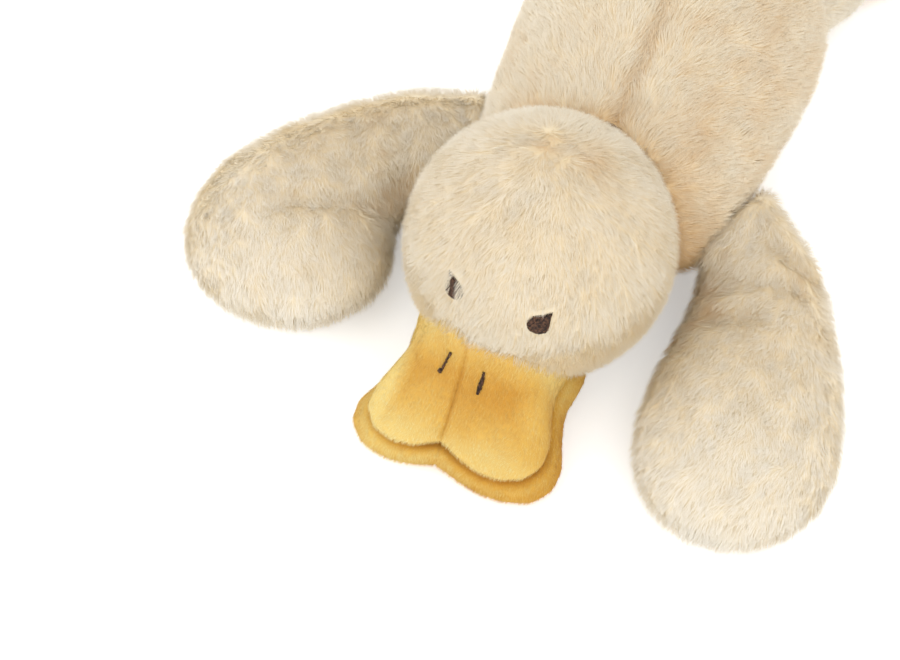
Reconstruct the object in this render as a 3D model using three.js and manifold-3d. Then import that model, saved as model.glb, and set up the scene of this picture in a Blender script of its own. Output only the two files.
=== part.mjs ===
// A plush duck that lies on its belly: sewn covers, the fibre inside them, and the seams it moves on.
// Millimetres. The duck looks along -Y, +Z is up, its left side is +X, and z = 0 is what it lies on.
import * as THREE from 'three';
import { mergeVertices } from 'three/addons/utils/BufferGeometryUtils.js';
import Module from 'manifold-3d';

const wasm = await Module();
wasm.setup();

// Cloth, and the room between sewn pieces
const clothThickness = 2; // plush fabric with its backing
const bedding = 0.7; // between a cover and the fibre inside it
const seamGap = 0.5; // between pieces that turn on each other
const flatDepth = 0.5; // how deep a side that lies down is pressed flat

// Torso
const chestReach = 118; // from the middle of the belly to the front of the chest
const rumpReach = 96;
const chestHalfWidth = 70;
const backHalfWidth = 76;
const hipHalfWidth = 78;
const chestHeight = 88;
const backHeight = 104;
const rumpHeight = 92;
const girthLevel = 42; // height at which the torso is widest

// Bag of pellets that weights the belly
const pouchLength = 104;
const pouchWidth = 84;
const pouchHeight = 24;

// Head and the neck band it turns in
const headRadius = 63.5;
const headLean = 9; // how far the head lies to the duck's right of the torso's middle
const headAhead = 145; // from the middle of the belly to the middle of the head
const neckBandInner = 15; // degrees from the neck's own line to the band's inner edge
const neckBandOuter = 34;
const neckDroop = 24; // degrees that the neck's line points down towards the torso

// Bill
const billShift = 5; // the bill is pushed this far to the duck's right of the face's middle
const billSeamShift = 4.5; // its seam, its notch and the nostrils lie this much further over
const upperBillHalfWidth = 47.5;
const upperBillWaist = 42; // half width where it leaves the face
const upperBillReach = 108; // from the head's middle to the front of the lobes
const upperBillNotch = 9; // how far the notch between the lobes is drawn back
const upperBillPeak = 60; // height of its ridge at the face
const upperBillNose = 27; // height of its ridge at the front
const upperBillEdge = 5; // from its flat underside up to the seam round its edge
const lowerBillRim = 7.5; // how far the lower bill shows past the upper one
const lowerBillThickness = 15;
const billRootLift = 10; // how much higher the two bills meet at the face than at the front
const jawOpening = 20; // degrees that the lower bill swings down

// Embroidery
const eyeWidth = 10.5;
const eyeFlick = 4.2; // length of the pointed corner
const eyeSpread = 21; // degrees from the middle of the face
const leftEyeRise = 19; // degrees above the head's middle
const rightEyeRise = 21.5;
const nostrilLength = 12;
const nostrilWidth = 2.3;
const nostrilSpread = 19;
const rightNostrilAhead = headRadius + 9; // from the head's middle
const leftNostrilAhead = rightNostrilAhead + 2.5;
const threadHeight = 1;

// Wings: both end in a wide soft paddle that lies on the ground and is swept forward
const wingSeamRadius = 12; // the rolled seam that the wing turns on
const wingSeamHalfLength = 28;
const wingSeamBack = 78; // from the middle of the belly forward to the middle of the seam
const wingSeamLevel = 33;
const wingSeamSlant = 20; // degrees that the seams draw in towards the neck
const wingPinch = 9.5; // half thickness where the wing is sewn on
const wingHalfThickness = 23;
const rightPaddleHalfWidth = 55;
const leftPaddleHalfWidth = 51;
const rightWingReach = 137; // how far the bent right wing reaches ahead of its seam's middle
const leftWingReach = 163; // the left wing lies straighter and reaches further forward
const wingHeadRoom = 8; // between the side of the head and a paddle

// Legs and webbed feet, splayed out behind
const hipSpread = 50; // from the middle to the hip seam
const hipBack = 82;
const hipLevel = 20;
const hipSeamRadius = 11;
const hipSeamHalfLength = 20;
const legHalfWidth = 20;
const legHalfHeight = 17;
const legLength = 48; // hip seam to ankle seam
const legSplay = 20; // degrees outwards
const ankleSeamRadius = 6;
const footHalfWidth = 34;
const footLength = 60;
const footThickness = 17;
const webDepth = 7; // how far the web is drawn in between the toes
const ankleSwing = 30; // degrees each way that a foot turns

// Tail
const tailLevel = 66;
const tailSeamRadius = 7;
const tailSeamHalfLength = 15;
const tailHalfWidth = 19;
const tailLength = 40;
const tailPitch = 32; // degrees above level

// Colours
const pileMaterial = () => new THREE.MeshStandardMaterial({ color: 0xe3d4b4, roughness: 0.95, metalness: 0 });
const billMaterial = () => new THREE.MeshStandardMaterial({ color: 0xe5be6f, roughness: 0.85, metalness: 0 });
const rimMaterial = () => new THREE.MeshStandardMaterial({ color: 0xdfa94e, roughness: 0.85, metalness: 0 });
const threadMaterial = () => new THREE.MeshStandardMaterial({ color: 0x4a3022, roughness: 0.6, metalness: 0 });
const fibreMaterial = () => new THREE.MeshStandardMaterial({ color: 0xf4f2ea, roughness: 1, metalness: 0 });
const pouchMaterial = () => new THREE.MeshStandardMaterial({ color: 0xd9d4c6, roughness: 0.9, metalness: 0 });

const duck = new THREE.Group();
const headCentre = new THREE.Vector3(-headLean, -headAhead, headRadius - flatDepth);
const innerWall = clothThickness; // how far a cover's inside lies within its outside
const fillingWall = clothThickness + bedding; // how far the fibre lies within it

// Solids
function solidOf(geometry) {
  const bare = geometry.clone();
  bare.deleteAttribute('normal');
  bare.deleteAttribute('uv');
  const merged = mergeVertices(bare, 1e-4);
  return new wasm.Manifold(new wasm.Mesh({
    numProp: 3,
    vertProperties: new Float32Array(merged.attributes.position.array),
    triVerts: new Uint32Array(merged.index.array),
  }));
}

function meshOf(name, solid, material) {
  const { vertProperties, triVerts } = solid.getMesh();
  const geometry = new THREE.BufferGeometry();
  geometry.setAttribute('position', new THREE.BufferAttribute(vertProperties, 3));
  geometry.setIndex(new THREE.BufferAttribute(triVerts, 1));
  const flat = geometry.toNonIndexed();
  flat.computeVertexNormals();
  const mesh = new THREE.Mesh(flat, material);
  mesh.name = name;
  duck.add(mesh);
}

const ballOf = (radius, across = 26, up = 16) => solidOf(new THREE.SphereGeometry(radius, across, up));
const boxOf = (low, high) => {
  const size = high.map((value, i) => value - low[i]);
  const middle = high.map((value, i) => (value + low[i]) / 2);
  return solidOf(new THREE.BoxGeometry(...size).translate(...middle));
};
const far = 400; // past every side of the duck
const aboveGround = (solid) => solid.subtract(boxOf([-far, -far, -far], [far, far, 0]));

// A rounded roll with its length along X, on which a sewn-on piece turns
function rollOf(radius, halfLength, growth = 0) {
  const roll = new THREE.SphereGeometry(1, 12, 8);
  roll.rotateZ(Math.PI / 2);
  roll.scale(halfLength + growth, radius + growth, radius + growth);
  return solidOf(roll);
}

// A value that runs smoothly through evenly spaced values
function through(values) {
  const curve = new THREE.SplineCurve(values.map((value) => new THREE.Vector2(value, 0)));
  return (u) => curve.getPoint(Math.min(Math.max(u, 0), 1)).x;
}

// How full a form is at v along it, where its first and last parts are rounded off
function endRounding(v, startPart, endPart) {
  const start = startPart > 0 ? Math.max(0, (startPart - v) / startPart) : 0;
  const end = endPart > 0 ? Math.max(0, (v - 1 + endPart) / endPart) : 0;
  return Math.pow(1 - Math.pow(Math.max(start, end), 2.3), 1 / 2.3);
}

// A stuffed form round a centre line: rings that swell and taper, rounded off or cut flat at its start.
function stuffed(form, inset = 0) {
  const { spine, halfWidth, rise, drop = rise, startPart, endPart, rings = 16, sides = 24 } = form;
  const trim = inset / spine.getLength();
  const positions = [];
  const indices = [];
  const frameAt = (u) => {
    const on = THREE.MathUtils.clamp(u, 0, 1);
    const along = spine.getTangentAt(on);
    const centre = spine.getPointAt(on).addScaledVector(along, (u - on) * spine.getLength());
    const side = new THREE.Vector3().crossVectors(along, new THREE.Vector3(0, 0, 1)).normalize();
    return { centre, side, up: new THREE.Vector3().crossVectors(side, along) };
  };
  const ringsFrom = startPart > 0 ? 1 : 0;
  positions.push(...frameAt(trim).centre);
  for (let i = ringsFrom; i < rings; i++) {
    const v = startPart > 0 ? (1 - Math.cos(Math.PI * i / rings)) / 2 : Math.sin(Math.PI / 2 * i / rings);
    const u = trim + (1 - 2 * trim) * v;
    const { centre, side, up } = frameAt(u);
    const full = endRounding(v, startPart, endPart);
    for (let j = 0; j < sides; j++) {
      const angle = 2 * Math.PI * j / sides;
      const height = Math.sin(angle) > 0 ? rise(u) : drop(u);
      const across = Math.sign(Math.cos(angle)) * Math.pow(Math.abs(Math.cos(angle)), 0.9);
      const point = centre.clone()
        .addScaledVector(side, across * full * (halfWidth(u) - inset))
        .addScaledVector(up, Math.sin(angle) * full * (height - inset));
      positions.push(...point);
    }
  }
  positions.push(...frameAt(1 - trim).centre);
  const ringCount = rings - ringsFrom;
  const last = 1 + ringCount * sides;
  for (let j = 0; j < sides; j++) {
    const k = (j + 1) % sides;
    indices.push(0, 1 + j, 1 + k);
    indices.push(last, last - sides + k, last - sides + j);
    for (let i = 0; i < ringCount - 1; i++) {
      const here = 1 + i * sides;
      indices.push(here + j, here + sides + j, here + k);
      indices.push(here + sides + j, here + sides + k, here + k);
    }
  }
  const geometry = new THREE.BufferGeometry();
  geometry.setAttribute('position', new THREE.Float32BufferAttribute(positions, 3));
  geometry.setIndex(indices);
  return solidOf(geometry);
}

// A flat stuffed pad of two panels sewn round an outline, which is given in its own plan.
function pad({ outline, middle, rim, top, bottom, fullness = 4, around = 26, rings = 4 }, inset = 0) {
  const positions = [];
  const indices = [];
  const edge = outline.getSpacedPoints(around).slice(0, around);
  const ringOf = (fill, face) => edge.forEach((corner) => {
    const out = corner.clone().sub(middle);
    const at = out.setLength((out.length() - inset) * fill).add(middle);
    const crown = Math.sqrt(1 - Math.pow(fill, fullness));
    const seam = rim(at.x, at.y);
    const skin = face > 0 ? top(at.x, at.y) - inset : bottom(at.x, at.y) + inset;
    positions.push(at.x, at.y, seam + (skin - seam) * crown);
  });
  const fills = Array.from({ length: rings }, (_, i) => Math.sin(Math.PI / 2 * (i + 1) / rings));
  positions.push(middle.x, middle.y, top(middle.x, middle.y) - inset);
  fills.forEach((fill) => ringOf(fill, 1));
  fills.slice(0, -1).reverse().forEach((fill) => ringOf(fill, -1));
  positions.push(middle.x, middle.y, bottom(middle.x, middle.y) + inset);
  const ringCount = 2 * rings - 1;
  const last = 1 + ringCount * around;
  for (let j = 0; j < around; j++) {
    const k = (j + 1) % around;
    indices.push(0, 1 + j, 1 + k);
    indices.push(last, last - around + k, last - around + j);
    for (let i = 0; i < ringCount - 1; i++) {
      const here = 1 + i * around;
      indices.push(here + j, here + around + j, here + k);
      indices.push(here + around + j, here + around + k, here + k);
    }
  }
  const geometry = new THREE.BufferGeometry();
  geometry.setAttribute('position', new THREE.Float32BufferAttribute(positions, 3));
  geometry.setIndex(indices);
  return solidOf(geometry);
}

// Torso form, drawn to a blunt chest and a rounder rump
const torsoForm = {
  spine: new THREE.LineCurve3(
    new THREE.Vector3(0, -chestReach, girthLevel),
    new THREE.Vector3(0, rumpReach, girthLevel),
  ),
  halfWidth: through([chestHalfWidth, chestHalfWidth, backHalfWidth, hipHalfWidth, hipHalfWidth]),
  rise: through([chestHeight, chestHeight, backHeight, backHeight, rumpHeight].map((top) => top - girthLevel)),
  drop: () => girthLevel + flatDepth,
  startPart: 0.23,
  endPart: 0.42,
  rings: 12,
  sides: 20,
};

// Seams that the limbs turn on, placed in the torso's side and rump
const torsoLength = chestReach + rumpReach;
const shoulderHalfWidth = torsoForm.halfWidth((chestReach - wingSeamBack) / torsoLength);
const wingSeamOut = shoulderHalfWidth + 3; // the seam lies just outside the torso's side
const tailSeamBack = rumpReach - 9;
const slant = THREE.MathUtils.degToRad(wingSeamSlant);
const wingPlace = (side) => new THREE.Matrix4()
  .makeTranslation(side * wingSeamOut, -wingSeamBack, wingSeamLevel)
  .multiply(new THREE.Matrix4().makeRotationZ(Math.PI / 2 - side * slant));
const legPlace = (side) => new THREE.Matrix4()
  .makeTranslation(side * hipSpread, hipBack, hipLevel)
  .multiply(new THREE.Matrix4().makeRotationZ(THREE.MathUtils.degToRad(-side * legSplay)));
const tailPlace = new THREE.Matrix4().makeTranslation(0, tailSeamBack, tailLevel);
const placed = (solid, matrix) => solid.transform(matrix.elements);

const bandInnerRadius = headRadius + seamGap;
const bandOuterRadius = bandInnerRadius + clothThickness;
const socketRadius = bandOuterRadius + seamGap + 0.3; // with room for the facets of the ball
const atHead = (solid) => solid.translate(headCentre.toArray());

// What is cut out of the torso's cover, or out of its fibre with some more room
function torsoCuts(extra) {
  const cuts = [atHead(ballOf(socketRadius + extra))];
  for (const side of [-1, 1]) {
    cuts.push(placed(rollOf(wingSeamRadius, wingSeamHalfLength, seamGap + extra), wingPlace(side)));
    cuts.push(placed(rollOf(hipSeamRadius, hipSeamHalfLength, seamGap + extra), legPlace(side)));
  }
  cuts.push(placed(rollOf(tailSeamRadius, tailSeamHalfLength, seamGap + extra), tailPlace));
  return wasm.Manifold.union(cuts);
}

// Bag of pellets, low in the belly
function pouchOf(growth) {
  const bag = new THREE.SphereGeometry(1, 18, 10);
  bag.rotateX(Math.PI / 2);
  bag.scale(pouchWidth / 2 + growth, pouchLength / 2 + growth, pouchHeight / 2 + growth);
  bag.translate(0, 0, fillingWall + pouchHeight / 2);
  return solidOf(bag);
}

function makeTorso() {
  const cover = stuffed(torsoForm).subtract(stuffed(torsoForm, innerWall)).subtract(torsoCuts(0));
  meshOf('torso_cover', aboveGround(cover), pileMaterial());
  const pocket = pouchOf(bedding).add(boxOf(
    [-pouchWidth / 4, -pouchLength / 4, 0],
    [pouchWidth / 4, pouchLength / 4, fillingWall + pouchHeight / 2],
  ));
  const fibre = stuffed(torsoForm, fillingWall).subtract(torsoCuts(bedding)).subtract(pocket);
  meshOf('torso_filling', fibre, fibreMaterial());
  meshOf('pellet_pouch', pouchOf(0), pouchMaterial());
}

// Neck band: a ring of cloth between the head and the torso's collar, part of a ball round the head's middle
function makeNeckBand() {
  const profile = [];
  const steps = 3;
  const inner = THREE.MathUtils.degToRad(neckBandInner);
  const outer = THREE.MathUtils.degToRad(neckBandOuter);
  const arc = (radius, from, to) => {
    for (let i = 0; i <= steps; i++) {
      const angle = from + (to - from) * i / steps;
      profile.push(new THREE.Vector2(radius * Math.sin(angle), radius * Math.cos(angle)));
    }
  };
  arc(bandInnerRadius + 0.2, inner, outer);
  arc(bandOuterRadius, outer, inner);
  profile.push(profile[0].clone());
  const band = new THREE.LatheGeometry(profile, 28);
  band.rotateX(-THREE.MathUtils.degToRad(neckDroop));
  const solid = solidOf(band);
  meshOf('neck_band', atHead(solid.volume() > 0 ? solid : solid.mirror([1, 0, 0])), pileMaterial());
}

// Where the two bills meet: level at the front and rising to the face
const billMiddle = headCentre.x - billShift;
const billSeam = billMiddle - billSeamShift;
const ahead = (y) => headCentre.y - y; // distance in front of the head's middle
const billFlat = 66; // the bills meet at one level this far ahead of the head's middle, and further out
const billRootAhead = 40; // where the bills' sides reach the face
const billMeeting = (y) => {
  const rise = THREE.MathUtils.smoothstep(billFlat + 22 - ahead(y), 0, billFlat + 22 - billRootAhead);
  return lowerBillThickness + billRootLift * rise;
};

// Plan of a bill: a closed curve with two lobes and a notch between them
function billOutline(halfWidth, waist, reach, notch) {
  const half = [
    [0, reach - notch],
    [0.26 * halfWidth, reach - 0.22 * notch],
    [0.56 * halfWidth, reach],
    [0.86 * halfWidth, reach - 5],
    [halfWidth, reach - 17],
    [halfWidth - 1, reach - 31],
    [waist, reach - 50],
    [waist, billRootAhead],
    [waist - 4, billRootAhead - 11],
    [0.5 * waist, billRootAhead - 18],
  ];
  const place = (side) => ([x, d]) => new THREE.Vector3(
    billMiddle + side * x - billSeamShift * Math.pow(1 - x / halfWidth, 2),
    headCentre.y - d,
    0,
  );
  const leftHalf = half.map(place(1));
  const rightHalf = half.slice(1).reverse().map(place(-1));
  return new THREE.CatmullRomCurve3([...leftHalf, ...rightHalf], true);
}

const upperBillForm = {
  outline: billOutline(upperBillHalfWidth, upperBillWaist, upperBillReach, upperBillNotch),
  middle: new THREE.Vector3(billMiddle, headCentre.y - 0.66 * upperBillReach, 0),
  rim: (x, y) => billMeeting(y) + seamGap + upperBillEdge,
  top: (x, y) => {
    const face = headRadius + 1; // where the ridge leaves the face
    const down = THREE.MathUtils.clamp((ahead(y) - face) / (upperBillReach - 14 - face), 0, 1);
    const seamDip = 2.5 * Math.exp(-Math.pow((x - billSeam) / 6, 2));
    return THREE.MathUtils.lerp(upperBillPeak, upperBillNose, Math.pow(down, 0.8)) - seamDip;
  },
  bottom: (x, y) => billMeeting(y) + seamGap,
  fullness: 2.6,
};

const lowerBillForm = {
  outline: billOutline(
    upperBillHalfWidth + lowerBillRim,
    upperBillWaist + lowerBillRim / 2,
    upperBillReach + lowerBillRim / 2,
    upperBillNotch * 0.7,
  ),
  middle: new THREE.Vector3(billMiddle, headCentre.y - 0.66 * upperBillReach, 0),
  rim: (x, y) => billMeeting(y) * 0.55,
  top: (x, y) => billMeeting(y),
  bottom: (x, y) => billMeeting(y) - lowerBillThickness - flatDepth,
};

// The jaw turns on the line where the bills' root meets the two sides of the face
const jawLevel = billMeeting(headCentre.y - billRootAhead);
const jawPlace = new THREE.Vector3(billMiddle, headCentre.y - billRootAhead, jawLevel);

// The head's ball as the opening jaw meets it, at a few steps of its swing
function jawClearance(radius) {
  const steps = [0, 1].map((part) => atHead(ballOf(radius))
    .translate(jawPlace.clone().negate().toArray())
    .rotate([-jawOpening * part, 0, 0])
    .translate(jawPlace.toArray()));
  return wasm.Manifold.union(steps);
}

function makeBills() {
  const face = atHead(ballOf(headRadius + seamGap));
  const faceInside = atHead(ballOf(headRadius + seamGap + bedding));
  const upper = stuffedPad(upperBillForm);
  meshOf('upper_bill_cover', upper.cover.subtract(face), billMaterial());
  meshOf('upper_bill_filling', upper.fibre.subtract(faceInside), fibreMaterial());
  const lower = stuffedPad(lowerBillForm);
  // Behind the jaw's line the lower bill slopes away, so that it can open
  const behindJaw = (room) => boxOf([-far, 0, 0], [far, far, far])
    .rotate([-jawOpening - 1, 0, 0])
    .translate([0, jawPlace.y - room, jawPlace.z - room]);
  const swingRadius = headRadius + seamGap + 0.3; // with room for the facets of the ball
  const lowerCover = lower.cover.subtract(jawClearance(swingRadius)).subtract(behindJaw(0));
  const lowerFibre = lower.fibre.subtract(jawClearance(swingRadius + bedding)).subtract(behindJaw(bedding));
  meshOf('lower_bill_cover', aboveGround(lowerCover), rimMaterial());
  meshOf('lower_bill_filling', lowerFibre, fibreMaterial());
}

// A sewn pad's cover, and the fibre inside it
function stuffedPad(form) {
  return {
    cover: pad(form).subtract(pad(form, innerWall)),
    fibre: pad(form, fillingWall),
  };
}

// Head: a ball whose cover is left open at the neck, where the fibre goes in
function makeHead() {
  const neckHole = new THREE.ConeGeometry(
    headRadius * Math.tan(THREE.MathUtils.degToRad(neckBandInner)), headRadius, 24,
  );
  neckHole.translate(0, -headRadius / 2, 0);
  neckHole.rotateX(Math.PI - THREE.MathUtils.degToRad(neckDroop));
  const shell = ballOf(headRadius, 28, 18).subtract(ballOf(headRadius - innerWall, 20, 12));
  meshOf('head_cover', aboveGround(atHead(shell.subtract(solidOf(neckHole)))), pileMaterial());
  meshOf('head_filling', atHead(ballOf(headRadius - fillingWall, 20, 12)), fibreMaterial());
}

// A patch of thread on the head's ball: an outline, in millimetres, pressed through a thin skin round the ball
function headPatch(shape, turn, rise) {
  const skin = ballOf(headRadius + seamGap + threadHeight, 40, 26).subtract(ballOf(headRadius + seamGap, 40, 26));
  const punch = new THREE.ExtrudeGeometry(shape, { depth: 40, bevelEnabled: false, curveSegments: 6 });
  punch.translate(0, 0, headRadius - 20);
  punch.rotateX(Math.PI / 2 - THREE.MathUtils.degToRad(rise));
  punch.rotateZ(THREE.MathUtils.degToRad(turn));
  return atHead(skin.intersect(solidOf(punch)));
}

// Eyes: a round of brown thread with a pointed flick at the upper outer corner
function makeEyes() {
  const radius = eyeWidth / 2;
  for (const [side, name, rise] of [[1, 'eye_left', leftEyeRise], [-1, 'eye_right', rightEyeRise]]) {
    const flickAngle = THREE.MathUtils.degToRad(side > 0 ? 48 : 132);
    const tip = new THREE.Vector2(Math.cos(flickAngle), Math.sin(flickAngle)).multiplyScalar(radius + eyeFlick);
    const shape = new THREE.Shape();
    const from = flickAngle + 0.62;
    shape.moveTo(radius * Math.cos(from), radius * Math.sin(from));
    shape.absarc(0, 0, radius, from, flickAngle - 0.62 + 2 * Math.PI, false);
    shape.lineTo(tip.x, tip.y);
    meshOf(name, headPatch(shape, side * eyeSpread, rise), threadMaterial());
  }
}

// Nostrils: two short bars of satin stitch that follow the upper bill's slope
function makeNostrils() {
  const grown = (growth) => pad(upperBillForm, -growth);
  const skin = grown(seamGap + threadHeight).subtract(grown(seamGap));
  for (const [side, name, ahead] of [
    [1, 'nostril_left', leftNostrilAhead],
    [-1, 'nostril_right', rightNostrilAhead],
  ]) {
    const bar = new THREE.CapsuleGeometry(nostrilWidth / 2, nostrilLength - nostrilWidth, 4, 8);
    bar.scale(1, 1, 14);
    bar.translate(billSeam + side * nostrilSpread / 2, headCentre.y - ahead, upperBillPeak - 10);
    const stitches = skin.intersect(solidOf(bar)).subtract(boxOf([-far, -far, -far], [far, far, jawLevel]));
    meshOf(name, stitches, threadMaterial());
  }
}

// Wings: the plan of each is a chosen line from its seam, out past the side of the head and forward
const headSide = (side) => side * headCentre.x + headRadius; // the head's side, out from the torso's middle
function wingForm(side, paddleHalfWidth, reach) {
  const paddleOut = headSide(side) + wingHeadRoom + paddleHalfWidth - 2;
  const bent = side < 0; // the right wing is bent like an elbow, the left one is straighter
  const out = (part) => side * THREE.MathUtils.lerp(wingSeamOut, paddleOut, part);
  const forward = (part) => -wingSeamBack - reach * part;
  // The first step leaves the slanted seam squarely
  const squarely = (part) => [part, part * (paddleOut - wingSeamOut) * Math.tan(slant) / reach];
  const line = bent
    ? [[0, 0], squarely(0.26), [0.66, 0.18], [0.97, 0.4], [1.03, 0.68], [1, 1]]
    : [[0, 0], squarely(0.3), [0.58, 0.16], [0.84, 0.39], [1, 0.68], [1.06, 1]];
  const lying = wingHalfThickness - flatDepth;
  const levels = [wingSeamLevel, wingSeamLevel, 26, lying, lying, lying];
  const points = line.map(([x, y], i) => new THREE.Vector3(out(x), forward(y), levels[i]));
  return {
    spine: new THREE.CatmullRomCurve3(points, false, 'centripetal'),
    halfWidth: through([wingSeamHalfLength - 1, wingSeamHalfLength + 5, 44, paddleHalfWidth, paddleHalfWidth - 2]),
    rise: through([wingPinch, 16, wingHalfThickness - 2, wingHalfThickness, wingHalfThickness]),
    startPart: 0,
    endPart: 0.36,
    rings: 10,
    sides: 16,
  };
}

function makeWing(side, name, paddleHalfWidth, reach) {
  const form = wingForm(side, paddleHalfWidth, reach);
  const roll = (inset) => placed(rollOf(wingSeamRadius, wingSeamHalfLength, -inset), wingPlace(side));
  // The seam's roll is left open towards the torso, where the wing was stuffed
  const mouth = 0.45 * wingSeamRadius;
  const towardsTorso = (depth) => placed(
    boxOf([-far, Math.min(side * depth, side * far), -far], [far, Math.max(side * depth, side * far), far]),
    wingPlace(side),
  );
  const outer = stuffed(form).add(roll(0));
  const cover = outer.subtract(stuffed(form, innerWall).add(roll(innerWall))).subtract(towardsTorso(mouth));
  const fibre = stuffed(form, fillingWall).add(roll(fillingWall)).subtract(towardsTorso(mouth - 1));
  meshOf(name + '_cover', aboveGround(cover), pileMaterial());
  meshOf(name + '_filling', fibre, fibreMaterial());
}

// A leg in its own plan: the hip seam's roll along X at the origin, and the leg running back along +Y
const legForm = {
  spine: new THREE.CatmullRomCurve3([
    new THREE.Vector3(0, 0, 0),
    new THREE.Vector3(0, legLength * 0.5, -(hipLevel - legHalfHeight) * 0.8 - flatDepth),
    new THREE.Vector3(0, legLength, -(hipLevel - legHalfHeight) - flatDepth),
  ]),
  halfWidth: through([hipSeamHalfLength - 1, legHalfWidth, legHalfWidth]),
  rise: through([hipSeamRadius - 1, legHalfHeight, legHalfHeight - 4]),
  startPart: 0,
  endPart: 0.4,
  rings: 6,
  sides: 12,
};
const ankleLevel = footThickness / 2 - hipLevel; // in the leg's plan

function makeLeg(side, name) {
  const mouth = (y) => boxOf([-far, -far, -far], [far, y, far]);
  const ankle = (growth) => rollOf(ankleSeamRadius, footHalfWidth * 0.6, growth).translate([0, legLength, ankleLevel]);
  const outer = stuffed(legForm).add(rollOf(hipSeamRadius, hipSeamHalfLength));
  const hollow = stuffed(legForm, innerWall).add(rollOf(hipSeamRadius, hipSeamHalfLength, -innerWall));
  const cover = outer.subtract(hollow).subtract(mouth(-0.45 * hipSeamRadius)).subtract(ankle(seamGap));
  const fibre = stuffed(legForm, fillingWall)
    .add(rollOf(hipSeamRadius, hipSeamHalfLength, -fillingWall))
    .subtract(mouth(1 - 0.45 * hipSeamRadius))
    .subtract(ankle(seamGap + bedding));
  meshOf(name + '_cover', aboveGround(placed(cover, legPlace(side))), pileMaterial());
  meshOf(name + '_filling', placed(fibre, legPlace(side)), fibreMaterial());
}

// A foot in the leg's plan: a flat pad with three toes, sewn on along the ankle seam
function footOutline() {
  const heel = legLength - ankleSeamRadius;
  const tip = legLength + footLength;
  const half = [
    [0, tip],
    [0.24 * footHalfWidth, tip - webDepth * 0.9],
    [0.36 * footHalfWidth, tip - webDepth],
    [0.72 * footHalfWidth, tip - 4],
    [footHalfWidth, tip - 16],
    [0.86 * footHalfWidth, legLength + 0.42 * footLength],
    [0.62 * footHalfWidth, legLength + 3],
    [0.3 * footHalfWidth, heel],
  ];
  const leftHalf = half.map(([x, y]) => new THREE.Vector3(-x, y, 0));
  const rightHalf = half.slice(1).reverse().map(([x, y]) => new THREE.Vector3(x, y, 0));
  return new THREE.CatmullRomCurve3([...leftHalf, ...rightHalf], true);
}

const footForm = {
  outline: footOutline(),
  middle: new THREE.Vector3(0, legLength + 0.5 * footLength, 0),
  rim: () => ankleLevel,
  top: () => ankleLevel + footThickness / 2,
  bottom: () => ankleLevel - footThickness / 2 - flatDepth,
  around: 26,
  rings: 3,
};

function makeFoot(side, name) {
  const foot = stuffedPad(footForm);
  const leg = stuffed(legForm, -seamGap);
  // Above and below the ankle seam the foot keeps clear of the leg's rounded end over its whole swing
  const ankle = new THREE.Vector3(0, legLength, ankleLevel);
  const swept = [-1, 0, 1].map((part) => leg
    .translate(ankle.clone().negate().toArray())
    .rotate([part * ankleSwing, 0, 0])
    .translate(ankle.toArray()));
  const clearance = wasm.Manifold.union(swept);
  const seam = (growth) => rollOf(ankleSeamRadius, footHalfWidth * 0.6, growth).translate(ankle.toArray());
  // The seam's roll is open in its middle, where the foot was stuffed
  const mouth = boxOf(
    [-0.2 * footHalfWidth, legLength - 2 * ankleSeamRadius, ankleLevel - 0.3 * ankleSeamRadius],
    [0.2 * footHalfWidth, legLength + 2 * ankleSeamRadius, ankleLevel + 0.3 * ankleSeamRadius],
  );
  const cover = foot.cover.subtract(clearance).add(seam(0)).subtract(mouth);
  const fibre = foot.fibre.subtract(clearance).subtract(seam(bedding));
  meshOf(name + '_cover', aboveGround(placed(cover, legPlace(side))), rimMaterial());
  meshOf(name + '_filling', placed(fibre, legPlace(side)), fibreMaterial());
}

// Tail: a short flat tuft that points up from the rump
const tailForm = {
  spine: new THREE.LineCurve3(
    new THREE.Vector3(0, 0, 0),
    new THREE.Vector3(0, tailLength, 0),
  ),
  halfWidth: through([tailSeamHalfLength - 1, tailHalfWidth, tailHalfWidth * 0.7]),
  rise: through([tailSeamRadius - 1.5, 9.5, 8]),
  startPart: 0,
  endPart: 0.6,
  rings: 6,
  sides: 12,
};

function makeTail() {
  const mouth = (y) => boxOf([-far, -far, -far], [far, y, far]);
  const raise = (solid) => placed(solid.rotate([tailPitch, 0, 0]), tailPlace);
  const hollow = stuffed(tailForm, innerWall).add(rollOf(tailSeamRadius, tailSeamHalfLength, -innerWall));
  const cover = stuffed(tailForm).add(rollOf(tailSeamRadius, tailSeamHalfLength)).subtract(hollow);
  const fibre = stuffed(tailForm, fillingWall).add(rollOf(tailSeamRadius, tailSeamHalfLength, -fillingWall));
  meshOf('tail_cover', raise(cover.subtract(mouth(-0.4 * tailSeamRadius))), pileMaterial());
  meshOf('tail_filling', raise(fibre.subtract(mouth(0.6 - 0.4 * tailSeamRadius))), fibreMaterial());
}

makeTorso();
makeNeckBand();
makeHead();
makeEyes();
makeBills();
makeNostrils();
makeWing(-1, 'wing_right', rightPaddleHalfWidth, rightWingReach);
makeWing(1, 'wing_left', leftPaddleHalfWidth, leftWingReach);
for (const [side, word] of [[-1, 'right'], [1, 'left']]) {
  makeLeg(side, 'leg_' + word);
  makeFoot(side, 'foot_' + word);
}
makeTail();

export default duck;
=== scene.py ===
"""A plush duck with a long soft pile, lying on its belly: how each of its sewn pieces looks."""
import math

import bmesh
import bpy
import numpy as np
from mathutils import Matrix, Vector
from mathutils.bvhtree import BVHTree


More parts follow.
